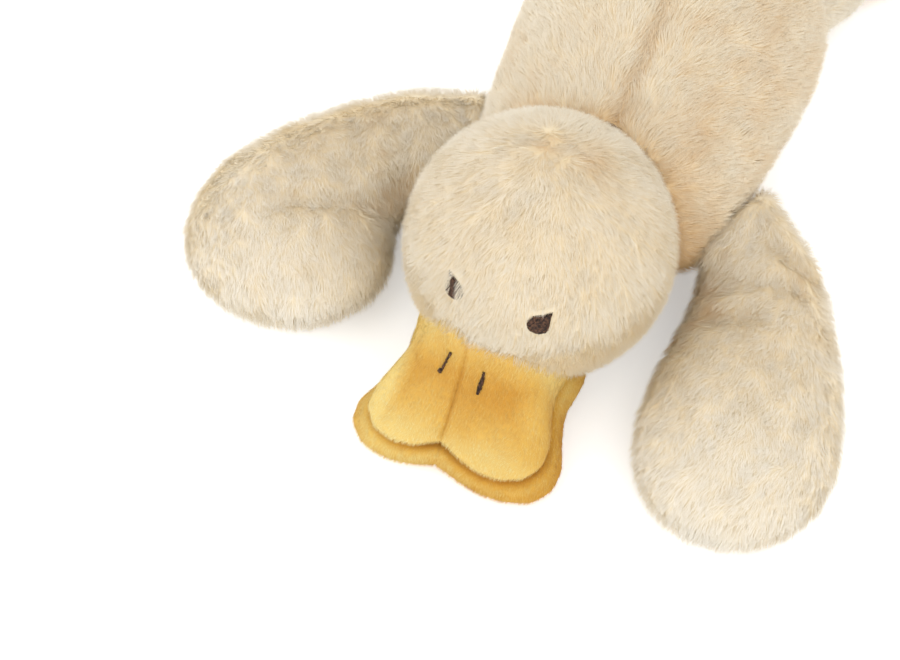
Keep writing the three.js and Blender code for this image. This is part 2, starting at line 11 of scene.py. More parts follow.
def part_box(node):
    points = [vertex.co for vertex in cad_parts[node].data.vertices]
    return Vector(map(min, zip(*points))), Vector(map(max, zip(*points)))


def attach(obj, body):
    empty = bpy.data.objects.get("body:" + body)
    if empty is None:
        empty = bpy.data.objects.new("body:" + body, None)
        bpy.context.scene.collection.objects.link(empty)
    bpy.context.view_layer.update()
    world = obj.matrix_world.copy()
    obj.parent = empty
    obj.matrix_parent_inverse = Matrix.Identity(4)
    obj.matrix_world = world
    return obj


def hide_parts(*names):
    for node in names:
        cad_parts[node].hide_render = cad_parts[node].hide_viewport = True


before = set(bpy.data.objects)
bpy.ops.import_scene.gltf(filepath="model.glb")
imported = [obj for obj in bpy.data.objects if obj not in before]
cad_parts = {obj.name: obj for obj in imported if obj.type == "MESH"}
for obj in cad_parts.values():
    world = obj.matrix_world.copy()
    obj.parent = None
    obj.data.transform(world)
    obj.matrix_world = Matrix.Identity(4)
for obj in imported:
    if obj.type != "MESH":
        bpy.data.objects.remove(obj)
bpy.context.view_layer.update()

# The studio: a white floor under a soft even sky, with low wide lamps on both sides ahead and two behind.
# The camera looks down on the head from ahead of the duck and from its left, and sees a white surround.
view_azimuth, view_elevation = 23.8, 58.0  # degrees
view_target = Vector((-0.0289, -0.2081, 0.063))
view_distance = 1.0043
lens_mm, sensor_mm = 85.0, 36.0
sight_reach = 20.0
lit_place = Vector((0, -0.1, 0.03))  # what the lamps look at
sky_level = 0.87
floor_reach = 4.0
floor_white = (0.96, 0.96, 0.96, 1)
floor_glow = 0.35  # how much whiter the floor shows than it is


def way_to(round_by, up_by):
    """A direction, in degrees round from straight ahead of the duck and up."""
    a, e = math.radians(round_by), math.radians(up_by)
    return Vector((math.sin(a) * math.cos(e), -math.cos(a) * math.cos(e), math.sin(e)))


def as_object(name, data):
    thing = bpy.data.objects.new(name, data)
    bpy.context.collection.objects.link(thing)
    return thing


def aim(thing, target, azimuth, elevation, distance):
    """Puts a camera or lamp on the given bearing from the target, looking at it."""
    back = way_to(azimuth, elevation)
    thing.location = target + back * distance
    thing.rotation_euler = back.to_track_quat("Z", "Y").to_euler()


camera = as_object("view", bpy.data.cameras.new("view"))
camera.data.lens = lens_mm
camera.data.sensor_width = sensor_mm
camera.data.clip_end = sight_reach
aim(camera, view_target, view_azimuth, view_elevation, view_distance)
bpy.context.scene.camera = camera
bpy.context.scene.view_settings.view_transform = "Standard"

for lamp_name, azimuth, elevation, distance, width, watts in (
    ("right_lamp", -40, 30, 1.6, 1.3, 7.5),
    ("left_lamp", 50, 28, 1.6, 1.3, 8.0),
    ("back_lamp", 150, 50, 1.8, 1.2, 2.2),
    ("rear_lamp", -140, 45, 1.8, 1.2, 4.0),
):
    lamp = bpy.data.lights.new(lamp_name, "AREA")
    lamp.size = width
    lamp.energy = watts
    aim(as_object(lamp_name, lamp), lit_place, azimuth, elevation, distance)


def nodes_of(owner):
    """Empties the node tree of a material or world, and returns short calls that add a node and a link."""
    owner.use_nodes = True
    tree = owner.node_tree
    tree.nodes.clear()

    def add(kind, **settings):
        node = tree.nodes.new("ShaderNode" + kind)
        for key, value in settings.items():
            if key in node.inputs:
                node.inputs[key].default_value = value
            else:
                setattr(node, key, value)
        return node

    return add, tree.links.new


def seen_rays(add, link):
    """1 for the rays that show a surround: from the camera, and by gloss or glass."""
    ray = add("LightPath")
    glossy, seen = (add("Math", operation="MAXIMUM") for _ in range(2))
    link(ray.outputs["Is Glossy Ray"], glossy.inputs[0])
    link(ray.outputs["Is Transmission Ray"], glossy.inputs[1])
    link(ray.outputs["Is Camera Ray"], seen.inputs[0])
    link(glossy.outputs[0], seen.inputs[1])
    return seen.outputs[0]


world = bpy.data.worlds.new("sky")
bpy.context.scene.world = world
add, link = nodes_of(world)
sky_light = add("Background", Strength=sky_level)
surround = add("Background", Strength=1.0)
mixed = add("MixShader")
link(seen_rays(add, link), mixed.inputs[0])
link(sky_light.outputs[0], mixed.inputs[1])
link(surround.outputs[0], mixed.inputs[2])
link(mixed.outputs[0], add("OutputWorld").inputs["Surface"])
for background in (sky_light, surround):
    background.inputs["Color"].default_value = (1, 1, 1, 1)

floor_material = bpy.data.materials.new("floor")
add, link = nodes_of(floor_material)
matt = add("BsdfDiffuse", Color=floor_white)
level = add("Math", operation="MULTIPLY")
level.inputs[1].default_value = floor_glow
glow = add("Emission")
both = add("AddShader")
link(seen_rays(add, link), level.inputs[0])
link(level.outputs[0], glow.inputs["Strength"])
link(matt.outputs[0], both.inputs[0])
link(glow.outputs[0], both.inputs[1])
link(both.outputs[0], add("OutputMaterial").inputs["Surface"])
floor_form = bmesh.new()
bmesh.ops.create_grid(floor_form, x_segments=1, y_segments=1, size=floor_reach)
floor_mesh = bpy.data.meshes.new("floor")
floor_form.to_mesh(floor_mesh)
floor_mesh.materials.append(floor_material)
floor = as_object("floor", floor_mesh)

# Torso cover: panels of cream plush sewn down the middle of the back, turned, and stuffed until round.
# The pile is worked as thousands of tapered tufts of fibre, each rooted in the cloth and combed to lie over.
# The room that the head and limbs press into is kept from the construction.
mm = 0.001
merge_gap = 0.001 * mm
lowest_skin, lowest_tuft = 0.3 * mm, 0.1 * mm  # above the ground
pile_length = 9.0 * mm
tuft_sink = 0.2 * mm  # how deep a tuft is rooted
shortest_tuft = 0.62  # as a share of the longest
wide_swing, wide_swing_over = 0.4, 26 * mm  # how far neighbouring tufts swing together, in radians
fine_swing, fine_swing_over = 0.16, 9 * mm
rise_drift, rise_drift_over, rise_spread = 0.14, 12 * mm, 0.1  # how unevenly tufts rise
brush_rise = 0.6  # how much further a tuft rises where the comb points straight out of the cloth, in radians
least_rise, most_rise = 0.12, 1.2
lock_size, lock_pull = 2.7, 0.7  # of a lock, against the clumps in it
evenness = 0.8  # how far the upper face of a tuft shades like the coat as a whole
usual_tint, tint_drift, tint_drift_over = 0.6, 0.08, 40 * mm
streak_over = 7 * mm
chart_edge, chart_step = 0.01, 0.006  # the margin of the baked picture, and half a face's width on it
back_seam_depth = 4.5 * mm
back_seam_width = 6.0 * mm
parting_cell = 15.0 * mm
parting_reach = 4.0 * mm
torso_tufts = 100000
cream_root = (0.93, 0.83, 0.64, 1)
cream_middle = (0.93, 0.865, 0.74, 1)
cream_tip = (0.92, 0.88, 0.80, 1)
gather_place = (0.054, -0.100, 0.026)
gather_swell = 7 * mm
head_middle = Vector((-0.009, -0.145, 0.063))
head_radius = 63.5 * mm


def sewn_form(name, nodes, voxel, smoothings):
    """One smooth closed skin round construction solids that lie in each other."""
    form = bmesh.new()
    for node in nodes:
        form.from_mesh(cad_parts[node].data)
    bmesh.ops.remove_doubles(form, verts=form.verts, dist=merge_gap)
    rough = bpy.data.meshes.new(name + "_rough")
    form.to_mesh(rough)
    form.free()
    carrier = as_object(name + "_rough", rough)
    remesh = carrier.modifiers.new("remesh", "REMESH")
    remesh.mode = "VOXEL"
    remesh.voxel_size = voxel
    seen_now = carrier.evaluated_get(bpy.context.evaluated_depsgraph_get())
    skin = bmesh.new()
    skin.from_mesh(seen_now.to_mesh())
    bpy.data.objects.remove(carrier)
    for _ in range(smoothings):
        bmesh.ops.smooth_vert(
            skin, verts=skin.verts, factor=0.5, use_axis_x=True, use_axis_y=True, use_axis_z=True
        )
    mesh = bpy.data.meshes.new(name)
    skin.to_mesh(mesh)
    skin.free()
    return mesh


def places(mesh, what="co"):
    """One row for each point of a mesh: its place, or its outward direction if the word "normal" is given."""
    found = np.empty(len(mesh.vertices) * 3, np.float32)
    mesh.vertices.foreach_get(what, found)
    return found.reshape(-1, 3).astype(float)


def put(mesh, at):
    mesh.vertices.foreach_set("co", at.astype(np.float32).ravel())
    mesh.update()


def press(mesh, depth_at):
    """Moves each point of a skin inwards by depth_at(places), and keeps the skin on the ground."""
    at = places(mesh)
    at -= places(mesh, "normal") * depth_at(at)[:, None]
    at[:, 2] = np.maximum(at[:, 2], lowest_skin)
    put(mesh, at)


def unit(vectors):
    return vectors / np.maximum(np.linalg.norm(vectors, axis=1, keepdims=True), 1e-9)


def near(at, spot, reach):
    """1 at the spot, falling off over the given reach."""
    return np.exp(-(np.linalg.norm(at - np.array(spot), axis=1) / reach) ** 2)


def rising(values, start, reach):
    """0 up to the start, and from there rising to 1 over the given reach."""
    return np.clip((values - start) / reach, 0, 1)


def drift(at, scale, seed):
    """A smooth wandering value for each place, about -1 to 1, that changes over the given scale."""
    turns = np.random.default_rng(seed)
    total = np.zeros(len(at))
    for octave in (1.0, 1.9, 3.1):
        for _ in range(3):
            wave = unit(turns.normal(size=(1, 3)))[0] * (2 * math.pi * octave / scale)
            total += np.sin(at @ wave + turns.uniform(0, 2 * math.pi)) / octave
    return total / 3.2


def gathered(at, cell, seed):
    """The nearest of a set of scattered gathering points, one to each cell, spread by mixing its numbers."""
    home = np.floor(at / cell).astype(np.int64)
    best = np.full(len(at), np.inf)
    nearest = at.copy()
    for step in np.ndindex(3, 3, 3):
        there = home + np.array(step) - 1
        mixed_up = there @ np.array([73856093, 19349663, 83492791]) + seed
        spread = np.stack([np.sin(mixed_up * k) * 43758.5453 % 1.0 for k in (12.9898, 78.233, 37.719)], 1)
        point = (there + spread) * cell
        gap = np.linalg.norm(point - at, axis=1)
        closer = gap < best
        best[closer] = gap[closer]
        nearest[closer] = point[closer]
    return nearest


def scatter(mesh, count, chance, dice):
    """Random places on a skin with their outward directions, thinned by chance(places, directions)."""
    mesh.calc_loop_triangles()
    corners = np.empty(len(mesh.loop_triangles) * 3, np.int32)
    mesh.loop_triangles.foreach_get("vertices", corners)
    corners = corners.reshape(-1, 3)
    at, out = places(mesh), places(mesh, "normal")
    a, b, c = (at[corners[:, k]] for k in range(3))
    area = np.linalg.norm(np.cross(b - a, c - a), axis=1)
    weight = area * chance((a + b + c) / 3, unit(out[corners].sum(1)))
    chosen = dice.choice(len(corners), count, p=weight / weight.sum())
    u, v = dice.random((2, count))
    over = u + v > 1
    u[over], v[over] = 1 - u[over], 1 - v[over]
    share = np.stack([1 - u - v, u, v], 1)[:, :, None]
    return (at[corners[chosen]] * share).sum(1), unit((out[corners[chosen]] * share).sum(1))


def combed(root, out, comb, lie, stray, seed, dice):
    """Which way each tuft points: along the comb and over the cloth, swung and raised a little unevenly."""
    way = unit(comb(root, out))
    straight_out = np.clip((way * out).sum(1), 0, 1)
    way = unit(way - (way * out).sum(1, keepdims=True) * out)
    across = np.cross(out, way)
    swing = wide_swing * drift(root, wide_swing_over, seed + 1)
    swing = swing + fine_swing * drift(root, fine_swing_over, seed + 2)
    swing += stray * dice.normal(size=len(root))
    way = way * np.cos(swing)[:, None] + across * np.sin(swing)[:, None]
    uneven = 1 + rise_drift * drift(root, rise_drift_over, seed + 3)
    uneven = uneven + rise_spread * dice.normal(size=len(root))
    rise = np.radians((lie(root) if callable(lie) else lie) * uneven)
    rise = np.clip(rise + brush_rise * straight_out ** 2, least_rise, most_rise)
    return way * np.cos(rise)[:, None] + out * np.sin(rise)[:, None]


def tuft_corners(root, tip, out, width, dice):
    """Four corners for each tuft, two wide and one low at its root and one at its tip, and its way down."""
    along = unit(tip - root)
    side = unit(np.cross(along, out))
    under = np.cross(along, side)
    half = (width * (0.7 + 0.6 * dice.random(len(root))) / 2)[:, None]
    low = root - out * tuft_sink
    points = np.stack([low - side * half, low + side * half, low + under * half * 0.7, tip], 1)
    return points.reshape(-1, 3), under


def bake_chart(corner_vertex, corner_start, tint, along_tuft):
    """Where each face lies on the baked picture: its tint across it, and its place along the tuft upwards."""
    turn = (np.arange(len(corner_vertex)) - corner_start) % 4
    return np.stack([
        tint[corner_vertex[corner_start]] + chart_step * np.array([-1, 1, 0.4, -0.6])[turn],
        chart_edge + (1 - 3 * chart_edge) * along_tuft[corner_vertex] + 0.8 * chart_edge * (turn > 1),
    ], 1)


def with_pile(
    mesh, piece_name, count, comb, length, width, chance=None, lie=28.0, clump=4.0 * mm, pull=0.3, stray=0.2,
    keep=None, shade=None, grain=(1, 1, 1), wander=0.06, streaks=0.06, parting_shade=0.0, seed=1,
):
    """The skin and its pile as one piece: tapered three-sided tufts that lie along comb(places, outward)."""
    dice = np.random.default_rng(seed)
    root, out = scatter(mesh, count, chance or (lambda at, out: np.ones(len(at))), dice)
    reach = combed(root, out, comb, lie, stray, seed, dice)
    long = length(root) if callable(length) else np.full(count, length)
    long = long * (shortest_tuft + (1 - shortest_tuft) * dice.random(count))
    tip = root + reach * long[:, None]
    for cell, share in ((clump, pull), (lock_size * clump, lock_pull * pull)):
        towards = gathered(root, cell, seed + int(cell * 1e5)) - root
        towards -= (towards * out).sum(1, keepdims=True) * out
        tip += towards * share * np.clip(long / pile_length, 0, 1)[:, None]
    if keep is not None:
        kept = keep(root, tip)
        root, out, tip = root[kept], out[kept], tip[kept]
        count = len(root)
    points, under = tuft_corners(root, tip, out, width, dice)
    first = len(mesh.vertices) + 4 * np.arange(count)
    faces = (first[:, None, None] + np.array([[0, 2, 1], [1, 2, 3], [2, 0, 3], [0, 1, 3]])).reshape(-1, 3)

    at = places(mesh)
    every = np.concatenate([at, points])
    every[:, 2] = np.maximum(every[:, 2], lowest_tuft)
    skin_corners = np.empty(len(mesh.loops), np.int32)
    mesh.loops.foreach_get("vertex_index", skin_corners)
    corner_vertex = np.concatenate([skin_corners, faces.ravel()]).astype(np.int32)
    sides = np.empty(len(mesh.polygons), np.int32)
    mesh.polygons.foreach_get("loop_total", sides)
    sides = np.concatenate([sides, np.full(len(faces), 3, np.int32)])
    starts = np.concatenate([[0], np.cumsum(sides)[:-1]]).astype(np.int32)
    whole = bpy.data.meshes.new(piece_name)
    whole.vertices.add(len(every))
    whole.vertices.foreach_set("co", every.astype(np.float32).ravel())
    whole.loops.add(len(corner_vertex))
    whole.loops.foreach_set("vertex_index", corner_vertex)
    whole.polygons.add(len(sides))
    whole.polygons.foreach_set("loop_start", starts)

    def wide_tint(at):
        """The tint without its streaks: wandering tones, spots of painted shade where the pile parts, and
        each piece's painted light and shade from shade(places).
        """
        tint = usual_tint + tint_drift * drift(at, tint_drift_over, seed + 5)
        tint = tint - parting_shade * near(at, gathered(at, parting_cell, seed + 7), parting_reach)
        return tint + (shade(at) if shade else 0)

    own = dice.normal(size=count) * streaks
    streak = wander * drift(root * grain, streak_over, seed + 6) + own
    tint = np.concatenate([wide_tint(at), np.repeat(wide_tint(root) + streak, 4)]).clip(0.02, 0.98)
    along_tuft = np.concatenate([np.zeros(len(at)), np.tile([0.05, 0.05, 0.05, 1.0], count)])
    for attribute, values in (("tint", tint), ("along", along_tuft)):
        whole.attributes.new(attribute, "FLOAT", "POINT").data.foreach_set("value", values.astype(np.float32))
    chart = bake_chart(corner_vertex, np.repeat(starts, sides), tint, along_tuft)
    whole.uv_layers.new(name="OFBake").data.foreach_set("uv", chart.astype(np.float32).ravel())
    whole.update()
    whole.validate()
    smooth = np.ones(len(sides), bool)
    smooth[-len(faces):] = np.tile([False, False, False, True], count)
    whole.polygons.foreach_set("use_smooth", smooth)
    facing = np.zeros((len(corner_vertex), 3), np.float32)
    upper_faces = facing[len(skin_corners):].reshape(count, 4, 3, 3)[:, 3]
    upper_faces[:] = unit(evenness * out - (1 - evenness) * under)[:, None]
    whole.normals_split_custom_set(facing)
    bpy.data.meshes.remove(mesh)
    return as_object(piece_name, whole)


def ramp(add, first, last, between=()):
    """A colour ramp from a first to a last stop, and through those between, each a position and a colour."""
    node = add("ValToRGB")
    for stop, (position, colour) in zip(node.color_ramp.elements, (first, last)):
        stop.position, stop.color = position, colour
    for position, colour in between:
        node.color_ramp.elements.new(position).color = colour
    return node


def pile_material(name, root, middle, tip, shaded, plain, pale, roughness, sheen):
    """Fibre that is warm and deep at its root and pale at its tip, with tufts that differ a little, and a
    tint that runs from painted shade through the plain colour to painted light.
    """
    material = bpy.data.materials.new(name)
    add, link = nodes_of(material)
    along = add("Attribute", attribute_name="along")
    tint = add("Attribute", attribute_name="tint")
    fade = ramp(add, (0, root), (1, tip), [(0.42, middle)])
    lots = ramp(add, (0, shaded), (1, pale), [(0.5, plain)])
    mix = add("Mix", data_type="RGBA", blend_type="MULTIPLY")
    mix.inputs["Factor"].default_value = 1.0
    surface = add("BsdfPrincipled", Roughness=roughness)
    surface.inputs["Specular IOR Level"].default_value = 0.15
    surface.inputs["Sheen Weight"].default_value = sheen
    surface.inputs["Sheen Roughness"].default_value = 0.5
    link(along.outputs["Fac"], fade.inputs["Fac"])
    link(tint.outputs["Fac"], lots.inputs["Fac"])
    link(fade.outputs["Color"], mix.inputs["A"])
    link(lots.outputs["Color"], mix.inputs["B"])
    link(mix.outputs["Result"], surface.inputs["Base Color"])
    link(surface.outputs[0], add("OutputMaterial").inputs["Surface"])
    return material


cream_pile = pile_material(
    "cream_pile", cream_root, cream_middle, cream_tip,
    (0.80, 0.59, 0.34, 1), (0.91, 0.865, 0.775, 1), (1.0, 1.0, 1.0, 1), 0.9, 0.05,
)


def finish_cover(piece, body, stands_for, material):
    """A sewn cover takes its cloth, its body and the construction solid that it stands for."""
    piece.data.materials.append(material)
    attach(piece, body)
    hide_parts(stands_for)


def back_seam(at):
    """How deep the seam draws the back in: a groove that winds a little along the middle of the top."""
    middle = (0.5 + 1.5 * np.sin((at[:, 1] + 0.1) / 0.03)) * mm
    groove = np.exp(-((at[:, 0] - middle) / back_seam_width) ** 2)
    return back_seam_depth * groove * rising(at[:, 2], 0.06, 0.02)


def torso_comb(at, out):
    """The back is combed towards the tail and down the sides, and towards its seam from either side."""
    away = np.tanh(at[:, 0] / 0.03)
    near_seam = np.exp(-(at[:, 0] / 0.014) ** 2)
    return np.stack([away * (0.75 - 1.2 * near_seam), np.full(len(at), 0.8), -0.25 * np.abs(away)], 1)


def thinner_below(share, steepness=0.35):
    """Most of the pile grows where it can be seen, and only a share of it on what faces the ground."""
    return lambda at, out: np.where(out[:, 2] < -steepness, share, 1.0)


def from_head_middle(at):
    return np.linalg.norm(at - np.array(head_middle), axis=1)


def beside_head(at):
    """1 on what touches the ball of the head, falling off over a centimetre or so."""
    gap = from_head_middle(at) - head_radius
    return np.exp(-np.maximum(gap - 3 * mm, 0) / (10 * mm))


def torso_form(at):
    """The seam's groove, and the gather at the left shoulder that closes the gap to the wing."""
    return back_seam(at) - gather_swell * near(at, gather_place, 15 * mm)


def torso_shade(at):
    """Painted shade, warmer and darker along the seam, against the head and in the left armpit; also warmer
    on the left side and a little darker all over.
    """
    armpit = near(at, gather_place, 18 * mm)
    warm_side = 0.12 * rising(at[:, 0], 0.005, 0.03)
    return -0.045 * back_seam(at) / mm - 0.25 * beside_head(at) - 0.5 * armpit - warm_side - 0.06


torso_skin = sewn_form("torso_skin", ["torso_cover", "torso_filling", "pellet_pouch"], 2.6 * mm, 4)
press(torso_skin, torso_form)


def clear_of_head(root, tip):
    return from_head_middle(root) > head_radius + 3.4 * mm


torso = with_pile(
    torso_skin, "torso", torso_tufts, torso_comb, pile_length, 0.34 * mm,
    lie=22.0, chance=thinner_below(0.3), keep=clear_of_head, shade=torso_shade, parting_shade=0.12, seed=11,
)
finish_cover(torso, "torso", "torso_cover", cream_pile)

# Torso filling: loose polyester fibre, pushed in by hand through the open collar until the back is round.
# Its surface is a mass of soft lumps, all of it out of sight inside the cover.
lump_size = 14 * mm
lump_depth = 0.8 * mm
strand_scale = 900.0


def stuffing_material():
    material = bpy.data.materials.new("fibre")
    add, link = nodes_of(material)
    spot = add("TexCoord")
    strands = add("TexNoise", Scale=strand_scale, Detail=4.0)
    shade = ramp(add, (0, (0.80, 0.79, 0.72, 1)), (1, (0.93, 0.92, 0.87, 1)))
    bump = add("Bump", Strength=0.6, Distance=0.0004)
    surface = add("BsdfPrincipled", Roughness=0.95)
    link(spot.outputs["Object"], strands.inputs["Vector"])
    link(strands.outputs["Fac"], shade.inputs["Fac"])
    link(shade.outputs["Color"], surface.inputs["Base Color"])
    link(strands.outputs["Fac"], bump.inputs["Height"])
    link(bump.outputs["Normal"], surface.inputs["Normal"])
    link(surface.outputs[0], add("OutputMaterial").inputs["Surface"])
    return material


fibre = stuffing_material()


def smooth_shaded(mesh):
    mesh.polygons.foreach_set("use_smooth", [True] * len(mesh.polygons))


def stuffing(node, body, seed, like_cover=None):
    """A body of fibre in the place of its construction solid, a little lumpy, and shaped like its cover."""
    mesh = sewn_form(node + "_fibre", [node], 3.5 * mm, 3)
    press(mesh, lambda at: lump_depth * (0.6 + 0.5 * drift(at, lump_size, seed)))
    if like_cover:
        like_cover(mesh)
    smooth_shaded(mesh)
    mesh.materials.append(fibre)
    piece = as_object(node.replace("_filling", "_stuffing"), mesh)
    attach(piece, body)
    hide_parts(node)


stuffing("torso_filling", "torso", 21, lambda mesh: press(mesh, back_seam))

# Pellet pouch: a small cloth bag of plastic pellets low in the belly, which makes the duck lie flat.
# The pellets show as dimples in the thin woven cloth.
pellet_size = 5 * mm
pellet_relief = 0.5 * mm
weave_scale = 1400.0


def pouch_material():
    material = bpy.data.materials.new("pouch_cloth")
    add, link = nodes_of(material)
    spot = add("TexCoord")
    threads = [add("TexWave", bands_direction=way, Scale=weave_scale) for way in ("X", "Y")]
    crossed = add("Math", operation="MAXIMUM")
    shade = ramp(add, (0, (0.55, 0.52, 0.44, 1)), (1, (0.74, 0.71, 0.62, 1)))
    surface = add("BsdfPrincipled", Roughness=0.85)
    for i, thread in enumerate(threads):
        link(spot.outputs["Object"], thread.inputs["Vector"])
        link(thread.outputs["Fac"], crossed.inputs[i])
    link(crossed.outputs[0], shade.inputs["Fac"])
    link(shade.outputs["Color"], surface.inputs["Base Color"])
    link(surface.outputs[0], add("OutputMaterial").inputs["Surface"])
    return material


pouch_mesh = sewn_form("pouch", ["pellet_pouch"], 2.2 * mm, 2)
press(pouch_mesh, lambda at: pellet_relief * np.abs(drift(at, pellet_size, 31)))
smooth_shaded(pouch_mesh)
pouch_mesh.materials.append(pouch_material())
pouch = as_object("pouch", pouch_mesh)
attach(pouch, "torso")
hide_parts("pellet_pouch")

# Neck band: a ring of the same plush between the collar of the torso and the head, hidden by the pile.
# The head is gathered onto it, so that it can turn and nod a little.
neck_tufts = 3000


def on_the_ball(at):
    """Each place as a direction from the head's middle."""
    return unit(at - np.array(head_middle))


def from_head(at, out):
    return on_the_ball(at) * np.array([1, 0.2, 1]) + np.array([0, 0.6, 0])


neck_skin = sewn_form("neck_skin", ["neck_band"], 0.9 * mm, 1)
neck = with_pile(neck_skin, "neck_ring", neck_tufts, from_head, 4 * mm, 0.35 * mm, lie=20.0, seed=41)
neck.data.materials.append(cream_pile)
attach(neck, "neck")
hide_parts("neck_band")

# Head cover: a ball of the same plush. Its pile lies loosely on the crown and falls from there on every
# side, with a paler forelock over the brow. It is cut away over the eyes, less over the right one.
head_tufts = 92000
crown = Vector((-0.076, 0.182, 0.98)).normalized()
# Painted shade in the partings of the crown's pile: a dip in the tint round each direction.
crown_shadow_dips = (  # a direction, a reach in millimetres and a strength
    ((-0.076, 0.182, 0.98), 6, 0.18), ((-0.118, -0.079, 0.99), 5, 0.2), ((0.251, 0.25, 0.935), 13, 0.22),
)
forelock = (-0.014, -0.160, 0.128)
eye_ways = {"eye_left": (21.0, 19.0), "eye_right": (-21.0, 21.5)}  # from the head's middle, in degrees
eye_openings = {  # a radius kept clear, and a strip by its ends and half its width, in mm and degrees
    "eye_left": (5.3, (0.0, 0.0), (5.5, 6.0), 1.8), "eye_right": (2.2, (1.0, -4.0), (-1.5, 5.0), 1.6),
}
hem = ((-22, -3), (-10, -1), (1, -6), (16, -9.5), (20, -12.5))  # along the bill's root, in degrees
hem_lie = 22.0  # how much further the pile rises along the hem, in degrees


def near_crown(at, reach):
    return near(on_the_ball(at), crown, reach)


def line_gap(spots, start, end):
    """How far each spot is from the line between two places."""
    step = end - start
    share = np.clip((spots - start) @ step / (step @ step), 0, 1)
    return np.linalg.norm(spots - start - share[:, None] * step, axis=1)


def near_hem(at, reach):
    """1 along the line where the face meets the root of the bill, falling off over the given reach."""
    spot = on_the_ball(at)
    line = [np.array(way_to(*place)) for place in hem]
    gap = np.min([line_gap(spot, start, end) for start, end in zip(line, line[1:])], axis=0)
    return np.exp(-(gap * head_radius / reach) ** 2)


def head_comb(at, out):
    """Away from the crown on every side, this way and that on top of it, and straighter down the face."""
    spot = on_the_ball(at)
    top = np.array(crown)
    away = unit(spot - (spot @ top)[:, None] * top) * (1 - 0.85 * near_crown(at, 0.22))[:, None]
    loose = np.stack([drift(at, 22 * mm, 52), drift(at, 22 * mm, 53) - 0.5, 0 * at[:, 0]], 1)
    down_face = (1 - near_crown(at, 0.45))[:, None] * np.array([0, -0.3, -0.15])
    return away + near_crown(at, 0.3)[:, None] * loose + down_face


def head_lie(at):
    """Raised along the hem, so that the pile falls over the root of the bill."""
    return 25.0 + hem_lie * near_hem(at, 7 * mm)


def head_shade(at):
    """Paler on the forelock, with painted shade in warm dips where the crown's pile parts, and warmer towards
    the neck.
    """
    behind = rising(at[:, 1] - head_middle[1], 0.03, 0.03)
    spot = on_the_ball(at)
    dips = sum(depth * near(spot, way, reach * mm / head_radius) for way, reach, depth in crown_shadow_dips)
    return 0.2 * near(at, forelock, 11 * mm) - 0.2 * behind - dips


def head_length(at):
    """Longer on the crown and brow, shorter round the left eye and over the root of the bill."""
    spot = on_the_ball(at)
    full = 0.80 + 0.15 * np.clip(spot @ np.array(crown), 0, 1) ** 3 + 0.35 * near(at, forelock, 12 * mm)
    round_eye = 1 - 0.3 * near(spot, way_to(*eye_ways["eye_left"]), 0.17)
    return pile_length * full * round_eye * (1 - 0.12 * near_hem(at, 10 * mm))


def clear_of_eyes(root, tip):
    """Leaves out tufts that would lie over an eye's threads, though the right eye stays half covered."""
    kept = np.ones(len(root), bool)
    for node, (turn, rise) in eye_ways.items():
        clear, start, end, strip = eye_openings[node]
        eye = np.array(way_to(turn, rise + 1.0)) * head_radius
        start, end = (np.array(way_to(turn + x, rise + y)) * head_radius for x, y in (start, end))
        for part in (0.0, 0.35, 0.7, 1.0):
            spot = on_the_ball(root + (tip - root) * part) * head_radius
            kept &= np.linalg.norm(spot - eye, axis=1) > clear * mm
            kept &= line_gap(spot, start, end) > strip * mm
    return kept


head_skin = sewn_form("head_skin", ["head_cover", "head_filling"], 2.2 * mm, 3)
head = with_pile(
    head_skin, "head", head_tufts, head_comb, head_length, 0.29 * mm, chance=thinner_below(0.3, 0.7),
    keep=clear_of_eyes, shade=head_shade, lie=head_lie, parting_shade=0.06, seed=51,
)
finish_cover(head, "head", "head_cover", cream_pile)
stuffing("head_filling", "head", 61)

# Eyes: rounds of dark brown thread with a pointed flick at the upper outer corner, embroidered in satin
# stitch. Each stitch is one raised thread that runs right across and goes down into the cloth at its ends.
eye_radius = 5.3 * mm
flick_length = 4.2 * mm
thread_radius = 0.38 * mm
stitch_spacing = 0.62 * mm
stitch_height = 1.2 * mm
stitch_sink = 0.35 * mm
loose_ends, loose_height = 0.5 * mm, 0.2 * mm  # how much the stitches differ
flick_way = 48  # in degrees from level, towards the outer side of the face


def thread_material():
    material = bpy.data.materials.new("brown_thread")
    add, link = nodes_of(material)
    spot = add("TexCoord")
    # The noise varies the brown from thread to thread, and its lighter specks are partly painted glints on
    # the threads.
    lots = add("TexNoise", Scale=strand_scale, Detail=2.0)
    shade = ramp(add, (0.38, (0.014, 0.006, 0.003, 1)), (0.66, (0.135, 0.062, 0.033, 1)))
    surface = add("BsdfPrincipled", Roughness=0.5)
    surface.inputs["Specular IOR Level"].default_value = 0.3
    link(spot.outputs["Object"], lots.inputs["Vector"])
    link(lots.outputs["Fac"], shade.inputs["Fac"])
    link(shade.outputs["Color"], surface.inputs["Base Color"])
    link(surface.outputs[0], add("OutputMaterial").inputs["Surface"])
    return material


brown_thread = thread_material()


